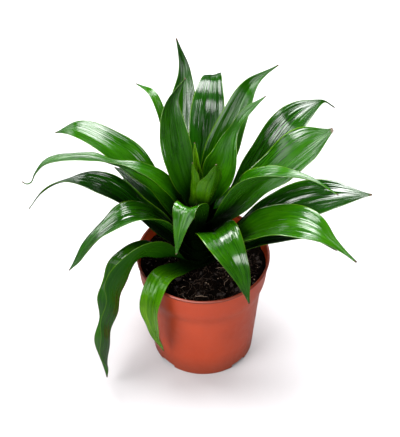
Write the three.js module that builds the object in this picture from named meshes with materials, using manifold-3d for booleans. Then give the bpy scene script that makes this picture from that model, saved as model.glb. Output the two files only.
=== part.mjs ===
// Potted dracaena: a plastic nursery pot, its soil, a short leafy cane and its arching leaves.
// Millimetres, +Z up, the pot's foot on z = 0 and its front towards -Y.
import * as THREE from 'three';
import { mergeVertices } from 'three/addons/utils/BufferGeometryUtils.js';
import Module from 'manifold-3d';

const wasm = await Module();
wasm.setup();

// ---- pot
const POT_HEIGHT = 113.5;
const RIM_RADIUS = 60;
const LIP_WIDTH = 2.2;
const LIP_HEIGHT = 1.8;
const BAND_TOP_RADIUS = 58.9;
const BAND_FOOT = { r: 57.1, z: 89.4 };
const SHOULDER_FOOT = { r: 53, z: 77.7 };
const BASE_RADIUS = 46.8;
const WALL = 1.3;
const FLOOR = 1.6;
const PAD_RADIUS = 20;
const GUTTER_HEIGHT = 3.6;
const FOOT_RING = 2.2;
const NOTCH = { count: 4, angle: 20, height: 3.2 };
const DRAIN = { count: 8, radius: 3.2, ring: 33 };
const POT_SIDES = 64;

// ---- soil and cane
const GAP = 0.3;
const SOIL_EDGE = 101;
const SOIL_CENTRE = 105.5;
const CRUMB = 0.9;
const CANE_RADIUS = 9;
const CANE_FOOT = 72;
const CANE_TOP = 184;
const CANE_X = -4;
const SCAR_PITCH = 8;

// ---- leaf blade
const BLADE = 0.8;
const LENGTH_STEPS = 18;
const WIDTH_STEPS = 4;
const TIP_WIDTH = 1;

// Each leaf grows in an upright plane through the cane at its azimuth (0 is +X, 90 is the back).
// rib is its midrib from root to tip as [out, up, aside]. widths are the blade's, spread evenly
// along it from root to tip. fold lifts both halves of the blade and roll turns it about the rib,
// both in degrees from root to tip. ripple is the height of the waves of its margins.
const LEAVES = [
  // back, upright
  { name: 'leaf_top', azimuth: 99, ripple: 1,
    widths: [13, 21, 27, 30, 27, 12, 1.2], fold: [15, 25, 30, 25], roll: [0, -5, -5, 10],
    rib: [[10, 128], [36, 160, 1], [64, 195, 4], [88, 219, 0], [104, 242, -3], [113, 269, 2]] },
  { name: 'leaf_back_left', azimuth: 127, ripple: 1,
    widths: [13, 24, 29, 30, 25, 10, 1.2], fold: [15, 30, 35, 30], roll: [0, -25, -30, -20],
    rib: [[9, 171], [22, 203, 3], [35, 236, 1], [42, 261, -4], [38, 281, -15]] },
  { name: 'leaf_back_left_thin', azimuth: 129, ripple: 0.8,
    widths: [13, 18, 18, 14, 11, 8, 1], fold: [15, 30, 30, 20], roll: [0],
    rib: [[10, 149], [26, 177], [41, 212], [53, 244], [64, 256], [85, 254]] },
  { name: 'leaf_back', azimuth: 85, ripple: 1,
    widths: [13, 22, 29, 32, 29, 17, 2], fold: [15, 25, 12, 10], roll: [0, 0, -10, -10],
    rib: [[10, 146], [29, 172, 1], [51, 205, -2], [72, 233, -3], [93, 241, -4], [114, 226, -5]] },
  { name: 'leaf_back_right', azimuth: 50, ripple: 1,
    widths: [13, 26, 32, 30, 22, 9, 1.2], fold: [15, 25, 30, 35], roll: [0, 15, 20, 10],
    rib: [[10, 163], [20, 187], [33, 210, 1], [51, 237, 2], [72, 258, 3], [107, 262]] },
  { name: 'leaf_right_upright', azimuth: 33, ripple: 1,
    widths: [13, 28, 34, 23, 9, 8, 1], fold: [15, 25, 25, 20], roll: [0, 20, 30, 10],
    rib: [[8, 172], [17, 191, -2], [26, 212, -2], [35, 233, 3], [47, 250, 3], [67, 264]] },
  // right
  { name: 'leaf_right_upper', azimuth: 34, ripple: 1.5,
    widths: [13, 23, 31, 35, 36, 36, 28, 7, 2.5], fold: [15, 25, 20, 20], roll: [0, 5, 5, 5],
    rib: [[11, 141, -2], [42, 153], [60, 174, -1], [78, 202, -1], [98, 221, -1], [118, 229, -1],
      [132, 228], [145, 216]] },
  { name: 'leaf_right_broad', azimuth: 3, ripple: 1.5,
    widths: [13, 24, 34, 41, 43, 38, 4], fold: [15, 25, 20, 10], roll: [0, 10, 15, 15],
    rib: [[11, 149], [32, 165], [58, 197], [85, 228], [111, 253]] },
  { name: 'leaf_right_curled', azimuth: -22, ripple: 1.5,
    widths: [13, 25, 33, 36, 28, 12, 4.5, 1], fold: [15, 35, 35, 20], roll: [0, -10, -10, 0],
    rib: [[10, 158], [26, 177], [41, 202, -1], [60, 225, -2], [83, 235, -1], [102, 235], [122, 227]] },
  { name: 'leaf_right_level', azimuth: -2, ripple: 1.5,
    widths: [13, 24, 34, 40, 39, 28, 2], fold: [15, 25, 20, 10], roll: [0, 15, 15, 0],
    rib: [[11, 118], [54, 150], [78, 172], [101, 182], [124, 187], [148, 190]] },
  { name: 'leaf_right_front', azimuth: -26, ripple: 1.5,
    widths: [13, 27, 38, 42, 34, 12, 2], fold: [15, 25, 20, 10], roll: [0, 8, 10, 0],
    rib: [[11, 127], [34, 144], [61, 169], [86, 186], [107, 188], [125, 180], [146, 168]] },
  { name: 'leaf_right_low', azimuth: -20, ripple: 1,
    widths: [13, 17, 18, 16, 11, 6, 1], fold: [15, 25, 20, 10], roll: [0],
    rib: [[11, 110], [33, 127], [70, 153], [100, 168], [125, 160]] },
  // front
  { name: 'leaf_front_right', azimuth: -62, ripple: 1,
    widths: [13, 28, 36, 33, 21, 11, 1.5], fold: [15, 20, 15, 10], roll: [0],
    rib: [[12, 139], [20, 154], [30, 166], [42, 170, -2], [58, 161, 1], [69, 143, 5], [79, 120, 7]] },
  { name: 'leaf_front_small', azimuth: -100, ripple: 0.5,
    widths: [12, 17, 24, 24, 16, 8, 1.5], fold: [15, 20, 10, 5], roll: [0, 5, 12, 5],
    rib: [[11, 147, 1], [15, 169], [20, 187, -1], [26, 191, -6], [32, 181, -9], [43, 153, -12]] },
  { name: 'leaf_front_lime', azimuth: 230, ripple: 1,
    widths: [13, 20, 24, 22, 18, 12, 1.2], fold: [15, 25, 25, 15], roll: [0],
    rib: [[10, 109], [29, 114], [50, 120], [64, 110, 3], [67, 95, 3], [65, 70, 4], [54, 30, 3]] },
  // left
  { name: 'leaf_left_upper', azimuth: 161, ripple: 1.5,
    widths: [13, 20, 27, 35, 35, 24, 1.5], fold: [15, 25, 20, 10], roll: [0],
    rib: [[11, 141], [28, 165], [46, 186], [66, 207, 1], [88, 222, 2], [112, 228, 1], [131, 219]] },
  { name: 'leaf_left_tailed', azimuth: 181, ripple: 1,
    widths: [12, 21, 27, 24, 15, 15, 13, 4, 1], fold: [15, 25, 20, 10],
    roll: [0, 0, 0, 10, 35, 10, 5, 0, 0],
    rib: [[10, 155], [25, 188], [46, 209], [70, 220], [87, 227], [108, 228], [128, 223], [138, 211],
      [142, 202], [146, 200], [150, 203]] },
  { name: 'leaf_left_shaded', azimuth: 157, ripple: 1,
    widths: [13, 22, 30, 32, 28, 16, 1.2], fold: [15, 30, 20, 10], roll: [0],
    rib: [[11, 133], [31, 158], [47, 172], [64, 182], [80, 189]] },
  { name: 'leaf_left_lower', azimuth: 172, ripple: 1.5,
    widths: [13, 25, 32, 33, 28, 8, 4, 1], fold: [15, 25, 20, 10], roll: [0, 0, 5, 10, 20],
    rib: [[11, 120], [39, 144], [54, 157], [70, 172], [86, 183], [104, 188], [122, 184], [139, 170],
      [153, 148]] },
  { name: 'leaf_left_front', azimuth: 200, ripple: 1.5,
    widths: [13, 24, 33, 36, 32, 20, 1.5], fold: [15, 25, 20, 10], roll: [0, 10, 20, 10],
    rib: [[11, 126], [25, 149], [41, 169, 1], [62, 179, 2], [84, 171, 2], [100, 156, 1], [119, 134]] },
  { name: 'leaf_left_hanging', azimuth: 216, ripple: 2,
    widths: [13, 34, 42, 43, 36, 24, 1.5], fold: [15, 45, 50, 45, 25], roll: [0, 30, 35, 30, 15, 0],
    rib: [[10, 115], [36, 131], [62, 144], [74, 136], [81, 118], [88, 98], [94, 80], [100, 56],
      [104, 14]] },
  // back, low
  { name: 'leaf_back_low_right', azimuth: 62, ripple: 1.5,
    widths: [13, 24, 32, 34, 28, 16, 1.2], fold: [15, 25, 20, 10], roll: [0],
    rib: [[11, 110], [35, 132], [60, 136], [80, 119], [92, 88]] },
  { name: 'leaf_back_low', azimuth: 98, ripple: 1.5,
    widths: [13, 24, 34, 38, 33, 18, 1.5], fold: [15, 25, 20, 10], roll: [0],
    rib: [[11, 116], [35, 147], [65, 168], [98, 160], [124, 128]] },
  { name: 'leaf_back_low_left', azimuth: 134, ripple: 1.5,
    widths: [13, 24, 33, 36, 30, 17, 1.5], fold: [15, 25, 20, 10], roll: [0],
    rib: [[11, 110], [35, 132], [62, 145], [95, 140], [118, 112]] },
  // heart
  { name: 'leaf_heart_right', azimuth: -60, ripple: 1,
    widths: [12, 20, 26, 22, 11, 1.5], fold: [30, 25, 25, 20], roll: [0],
    rib: [[11, 177], [14, 196, 3], [17, 216, 6], [22, 235, 4]] },
  { name: 'leaf_heart_left', azimuth: 222, ripple: 0.5,
    widths: [8, 14, 14, 9, 1], fold: [20, 25, 25, 15], roll: [0],
    rib: [[8, 178], [6, 192], [6, 209], [7, 226]] },
  { name: 'leaf_spear', azimuth: 95, ripple: 0,
    widths: [12, 15, 13, 8, 1], fold: [50, 60, 60, 45], roll: [0],
    rib: [[3, 187], [5, 205], [5, 223, 2], [5, 240, 3]] },
];

// ---- helpers
const rad = THREE.MathUtils.degToRad;
const group = new THREE.Group();
group.name = 'potted_dracaena';

function toManifold(geometry) {
  const bare = geometry.clone();
  bare.deleteAttribute('normal');
  bare.deleteAttribute('uv');
  const merged = mergeVertices(bare, 1e-4);
  return new wasm.Manifold(new wasm.Mesh({
    numProp: 3,
    vertProperties: Float32Array.from(merged.attributes.position.array),
    triVerts: Uint32Array.from(merged.index.array),
  }));
}

function toGeometry(manifold) {
  const mesh = manifold.getMesh();
  const geometry = new THREE.BufferGeometry();
  geometry.setAttribute('position', new THREE.BufferAttribute(mesh.vertProperties, 3));
  geometry.setIndex(new THREE.BufferAttribute(mesh.triVerts, 1));
  return geometry;
}

function add(name, geometry, color, roughness) {
  geometry.computeVertexNormals();
  const material = new THREE.MeshStandardMaterial({ color, roughness, metalness: 0 });
  const mesh = new THREE.Mesh(geometry, material);
  mesh.name = name;
  group.add(mesh);
  return mesh;
}

// A body turned about the Z axis from [radius, height] pairs that start and end on the axis.
function turned(profile, sides) {
  const points = profile.map(([r, z]) => new THREE.Vector2(r, z));
  return new THREE.LatheGeometry(points, sides).rotateX(Math.PI / 2);
}

// ---- pot
function potOuterRadius(z) {
  const run = (a, b) => a.r + (b.r - a.r) * (z - a.z) / (b.z - a.z);
  const base = { r: BASE_RADIUS, z: 0 };
  const top = { r: BAND_TOP_RADIUS, z: POT_HEIGHT - LIP_HEIGHT };
  if (z < SHOULDER_FOOT.z) return run(base, SHOULDER_FOOT);
  if (z < BAND_FOOT.z) return run(SHOULDER_FOOT, BAND_FOOT);
  return run(BAND_FOOT, top);
}

function potProfile() {
  const lipFoot = POT_HEIGHT - LIP_HEIGHT;
  const outer = (z) => [potOuterRadius(z), z];
  const inner = (z) => [potOuterRadius(z) - WALL, z];
  const softened = (z, inset) => [potOuterRadius(z) - inset, z];
  return [
    [0, 0], [PAD_RADIUS, 0], [PAD_RADIUS + 2, GUTTER_HEIGHT],
    [BASE_RADIUS - FOOT_RING - 1, GUTTER_HEIGHT], [BASE_RADIUS - FOOT_RING, 0],
    [BASE_RADIUS - 1.2, 0], softened(0.6, 0.4), outer(1.8),
    softened(SHOULDER_FOOT.z - 3, 0), softened(SHOULDER_FOOT.z, -0.4),
    softened(SHOULDER_FOOT.z + 6, 0), softened(BAND_FOOT.z, 0.4), outer(BAND_FOOT.z + 3),
    outer(lipFoot), [RIM_RADIUS - 0.3, lipFoot], [RIM_RADIUS, lipFoot + 0.5],
    [RIM_RADIUS - 0.2, POT_HEIGHT - 0.4], [RIM_RADIUS - 0.8, POT_HEIGHT],
    [RIM_RADIUS - LIP_WIDTH + 0.4, POT_HEIGHT], [RIM_RADIUS - LIP_WIDTH, POT_HEIGHT - 0.5],
    inner(lipFoot - 1), inner(BAND_FOOT.z), inner(SHOULDER_FOOT.z),
    inner(GUTTER_HEIGHT + FLOOR), [PAD_RADIUS + 3, GUTTER_HEIGHT + FLOOR],
    [PAD_RADIUS + 1, FLOOR], [0, FLOOR],
  ];
}

function pot() {
  let body = toManifold(turned(potProfile(), POT_SIDES));
  for (let i = 0; i < NOTCH.count; i++) {
    const turn = (i + 0.5) * Math.PI * 2 / NOTCH.count;
    const width = 2 * BASE_RADIUS * Math.tan(rad(NOTCH.angle / 2));
    const cutter = new THREE.BoxGeometry(12, width, NOTCH.height * 2).translate(BASE_RADIUS, 0, 0);
    body = body.subtract(toManifold(cutter.rotateZ(turn)));
  }
  for (let i = 0; i < DRAIN.count; i++) {
    const turn = (i + 0.5) * Math.PI * 2 / DRAIN.count;
    const cutter = new THREE.CylinderGeometry(DRAIN.radius, DRAIN.radius, 20, 16).rotateX(Math.PI / 2);
    cutter.translate(DRAIN.ring * Math.cos(turn), DRAIN.ring * Math.sin(turn), 0);
    body = body.subtract(toManifold(cutter));
  }
  add('pot', toGeometry(body), 0xb5532f, 0.45);
}

// ---- soil: fills the pot, with a crumbly mounded top and a plain hole for the cane
function soilHeight(x, y) {
  const edge = potOuterRadius(SOIL_EDGE) - WALL;
  const fall = Math.min(Math.hypot(x, y) / edge, 1);
  const mound = SOIL_CENTRE + (SOIL_EDGE - SOIL_CENTRE) * fall * fall;
  const crumbs = Math.sin(0.55 * x + 1.3) * Math.sin(0.48 * y)
    + 0.6 * Math.sin(0.9 * y - 0.7 * x + 2) + 0.4 * Math.sin(1.3 * x + 0.8 * y);
  return mound + CRUMB * crumbs * (1 - fall ** 8);
}

function soil() {
  const inside = (z) => potOuterRadius(z) - WALL - GAP;
  const top = [];
  for (const share of [1, 0.9, 0.78, 0.66, 0.54, 0.42, 0.3]) {
    top.push([inside(SOIL_EDGE) * share, SOIL_EDGE]);
  }
  const profile = [
    [0, FLOOR + GAP], [PAD_RADIUS + 0.6, FLOOR + GAP],
    [PAD_RADIUS + 2.6, GUTTER_HEIGHT + FLOOR + GAP],
    [inside(GUTTER_HEIGHT + FLOOR) - 0.2, GUTTER_HEIGHT + FLOOR + GAP],
    [inside(SHOULDER_FOOT.z), SHOULDER_FOOT.z], [inside(BAND_FOOT.z), BAND_FOOT.z],
    ...top, [0, SOIL_EDGE],
  ];
  const geometry = turned(profile, 48);
  const position = geometry.attributes.position;
  for (let i = 0; i < position.count; i++) {
    if (position.getZ(i) > SOIL_EDGE - 0.01) {
      position.setZ(i, soilHeight(position.getX(i), position.getY(i)));
    }
  }
  const depth = SOIL_CENTRE - CANE_FOOT + GAP + 20;
  const hole = new THREE.CylinderGeometry(CANE_RADIUS + GAP, CANE_RADIUS + GAP, depth, 24);
  hole.rotateX(Math.PI / 2).translate(CANE_X, 0, CANE_FOOT - GAP + depth / 2);
  add('soil', toGeometry(toManifold(geometry).subtract(toManifold(hole))), 0x1d120b, 0.95);
}

// ---- cane: a short stem ringed by old leaf scars, set in the soil and hidden among the leaves
function cane() {
  const profile = [[0, CANE_FOOT], [CANE_RADIUS - 1, CANE_FOOT], [CANE_RADIUS - 0.3, CANE_FOOT + 2]];
  const shoulder = CANE_TOP - 24;
  for (let z = SOIL_CENTRE - 6; z < shoulder; z += SCAR_PITCH) {
    profile.push([CANE_RADIUS - 0.3, z], [CANE_RADIUS, z + 1]);
  }
  profile.push([CANE_RADIUS - 0.8, shoulder], [CANE_RADIUS * 0.7, CANE_TOP - 10]);
  profile.push([CANE_RADIUS * 0.45, CANE_TOP], [0, CANE_TOP]);
  add('cane', turned(profile, 20).translate(CANE_X, 0, 0), 0x5d7a2c, 0.6);
}

// ---- leaves
// The value at t (0 at the root, 1 at the tip) of settings spread evenly along the leaf.
function along(values, t) {
  if (values.length === 1) return values[0];
  const x = t * (values.length - 1);
  const i = Math.min(Math.floor(x), values.length - 2);
  return THREE.MathUtils.lerp(values[i], values[i + 1], THREE.MathUtils.smoothstep(x - i, 0, 1));
}

// Half the blade's width at t, on a smooth curve through its widths.
function halfWidth(widths, t) {
  const x = t * (widths.length - 1);
  const i = Math.min(Math.floor(x), widths.length - 2);
  const [before, here, next, after] = [i - 1, i, i + 1, i + 2]
    .map((k) => widths[THREE.MathUtils.clamp(k, 0, widths.length - 1)]);
  const f = x - i;
  const slope = (next - before) / 2;
  const bend = before - 2.5 * here + 2 * next - after / 2;
  const twist = 1.5 * (here - next) + (after - before) / 2;
  const width = here + f * (slope + f * (bend + f * twist));
  return Math.max(width, TIP_WIDTH) / 2;
}

// The middle surface of a blade: rows of points from root to tip, each from its right margin to
// its left as seen from the cane.
function bladeSurface(leaf) {
  const angle = rad(leaf.azimuth);
  const outward = new THREE.Vector3(Math.cos(angle), Math.sin(angle), 0);
  const sideways = new THREE.Vector3(-Math.sin(angle), Math.cos(angle), 0);
  const points = leaf.rib.map(([out, up, aside = 0]) => new THREE.Vector3(CANE_X, 0, up)
    .addScaledVector(outward, out).addScaledVector(sideways, aside));
  const spine = new THREE.CatmullRomCurve3(points).getSpacedPoints(LENGTH_STEPS);
  return spine.map((centre, i) => {
    const t = i / LENGTH_STEPS;
    const next = spine[Math.min(i + 1, LENGTH_STEPS)];
    const ahead = next.clone().sub(spine[Math.max(i - 1, 0)]).normalize();
    const flat = sideways.clone().addScaledVector(ahead, -sideways.dot(ahead)).normalize();
    const face = ahead.clone().cross(flat);
    const roll = rad(along(leaf.roll, t));
    const across = flat.clone().multiplyScalar(Math.cos(roll)).addScaledVector(face, Math.sin(roll));
    const above = face.clone().multiplyScalar(Math.cos(roll)).addScaledVector(flat, -Math.sin(roll));
    const half = halfWidth(leaf.widths, t);
    const fold = rad(along(leaf.fold, t));
    const row = [];
    for (let j = 0; j <= WIDTH_STEPS; j++) {
      const v = 2 * j / WIDTH_STEPS - 1;
      const wave = Math.sin(2 * Math.PI * (2.5 * t + (v > 0 ? 0.35 : 0))) * Math.sin(Math.PI * t);
      const lift = half * Math.sin(fold) * Math.abs(v) ** 1.25 + leaf.ripple * wave * v * v;
      row.push(centre.clone().addScaledVector(across, half * Math.cos(fold) * v)
        .addScaledVector(above, lift));
    }
    return row;
  });
}

// Gives the surface its thickness. Both faces are split into triangles alike.
function bladeGeometry(leaf) {
  const rows = bladeSurface(leaf);
  const columns = WIDTH_STEPS + 1;
  const normalAt = (i, j) => {
    const lengthwise = rows[Math.min(i + 1, LENGTH_STEPS)][j].clone()
      .sub(rows[Math.max(i - 1, 0)][j]);
    const crosswise = rows[i][Math.min(j + 1, WIDTH_STEPS)].clone()
      .sub(rows[i][Math.max(j - 1, 0)]);
    return lengthwise.cross(crosswise).normalize();
  };
  const positions = [];
  for (const side of [0.5, -0.5]) {
    rows.forEach((row, i) => row.forEach((point, j) => {
      positions.push(...point.clone().addScaledVector(normalAt(i, j), side * BLADE).toArray());
    }));
  }
  const under = rows.length * columns;
  const index = [];
  const quad = (a, b, c, d) => index.push(a, b, c, a, c, d);
  for (let i = 0; i < LENGTH_STEPS; i++) {
    for (let j = 0; j < WIDTH_STEPS; j++) {
      const a = i * columns + j;
      quad(a, a + columns, a + columns + 1, a + 1);
      index.push(under + a, under + a + columns + 1, under + a + columns);
      index.push(under + a, under + a + 1, under + a + columns + 1);
    }
  }
  const margin = [];
  for (let i = 0; i < LENGTH_STEPS; i++) margin.push(i * columns);
  for (let j = 0; j < WIDTH_STEPS; j++) margin.push(LENGTH_STEPS * columns + j);
  for (let i = LENGTH_STEPS; i > 0; i--) margin.push(i * columns + WIDTH_STEPS);
  for (let j = WIDTH_STEPS; j > 0; j--) margin.push(j);
  margin.forEach((a, k) => {
    const b = margin[(k + 1) % margin.length];
    quad(a, under + a, under + b, b);
  });
  const geometry = new THREE.BufferGeometry();
  geometry.setAttribute('position', new THREE.Float32BufferAttribute(positions, 3));
  geometry.setIndex(index);
  return geometry;
}

pot();
soil();
cane();
for (const leaf of LEAVES) add(leaf.name, bladeGeometry(leaf), 0x2f6b1e, 0.35);

export default group;
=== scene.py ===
"""Looks for the potted dracaena, built round its CAD frame. Metres, +Z up, front towards -Y."""
import math
import random
from collections import namedtuple

import bpy
import numpy as np
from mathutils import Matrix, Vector, noise

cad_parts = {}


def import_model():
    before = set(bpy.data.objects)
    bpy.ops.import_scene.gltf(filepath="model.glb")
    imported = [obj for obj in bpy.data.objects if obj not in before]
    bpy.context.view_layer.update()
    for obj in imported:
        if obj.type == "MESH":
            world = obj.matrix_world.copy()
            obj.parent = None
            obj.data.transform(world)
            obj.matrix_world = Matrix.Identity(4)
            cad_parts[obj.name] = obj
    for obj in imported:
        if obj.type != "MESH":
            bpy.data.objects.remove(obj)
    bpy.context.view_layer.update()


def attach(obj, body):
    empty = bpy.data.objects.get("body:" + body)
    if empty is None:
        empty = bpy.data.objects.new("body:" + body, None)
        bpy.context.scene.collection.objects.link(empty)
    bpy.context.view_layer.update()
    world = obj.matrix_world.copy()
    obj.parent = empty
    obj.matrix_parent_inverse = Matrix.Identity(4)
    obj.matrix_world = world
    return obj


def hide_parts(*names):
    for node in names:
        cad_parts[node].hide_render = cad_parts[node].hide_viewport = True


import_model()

MM = 0.001
FULL_TURN = 2 * math.pi

# ---- sizes, in millimetres, as in the CAD source
POT_HEIGHT = 113.5
RIM_RADIUS = 60
LIP_WIDTH = 2.2
LIP_HEIGHT = 1.8
LIP_FOOT = POT_HEIGHT - LIP_HEIGHT
BAND_TOP_RADIUS = 58.9
BAND_FOOT = (57.1, 89.4)
SHOULDER_FOOT = (53, 77.7)
BASE_RADIUS = 46.8
WALL = 1.3
FLOOR = 1.6
PAD_RADIUS = 20
GUTTER_HEIGHT = 3.6
FOOT_RING = 2.2
NOTCH_COUNT, NOTCH_ANGLE, NOTCH_HEIGHT = 4, 20, 3.2
DRAIN_COUNT, DRAIN_RADIUS, DRAIN_RING = 8, 3.2, 33
SOIL_EDGE = 101
SOIL_CENTRE = 105.5
CRUMB = 0.9
CANE_RADIUS = 9
CANE_FOOT = 72
CANE_TOP = 184
CANE_X = -4

# ---- finer sizes, in millimetres, for what only this script makes
# Each leaf's base clasps the cane. A leaf that grows from lower than SHEATHED_BELOW also has a wider
# base, which runs on down the cane as a sheath. The two ends are shares of the blade's length.
CLASP_RADIUS, CLASP_END = 9.2, 0.16
SHEATH_RADIUS, SHEATH_END = 9.3, 0.10
SHEATH_HALF_WIDTH = 13
SHEATH_DEPTH = 15
SHEATH_ROWS = 6
SHEATHED_BELOW = 175
# A blade has so many waves along it, and those of one margin are a share of a wave ahead.
WAVES, SIDE_SHIFT = 2.5, 0.35
# Frill on the margins, pleats along the face, and an unevenness that is a share of the width. The
# pitches are millimetres of length for a radian, and the rates are radians for half a width.
FRILL_HEIGHT, FRILL_PITCHES = 0.22, (9, 5.3)
PLEAT_HEIGHT, PLEAT_RATES = 0.16, (11, 19)
UNEVENNESS, UNEVEN_PITCH = 0.02, 7
RUMPLE_PITCH = 6.5
# Half the blade's thickness: at the margin, and what is added inside it and along the midrib, which
# is a share of the blade's half width.
MARGIN_HALF, INSIDE_HALF, MIDRIB_HALF = 0.16, 0.24, 0.10
MIDRIB_SHARE = 0.08
# A blade is never narrower than this, a little less than in the CAD source.
TIP_WIDTH = 0.8
# How far from the pot's axis litter may lie.
LUMPS_REACH = 54
FIBRES_REACH = 51
FIBRE_ENDS_REACH = 55.5

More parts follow.
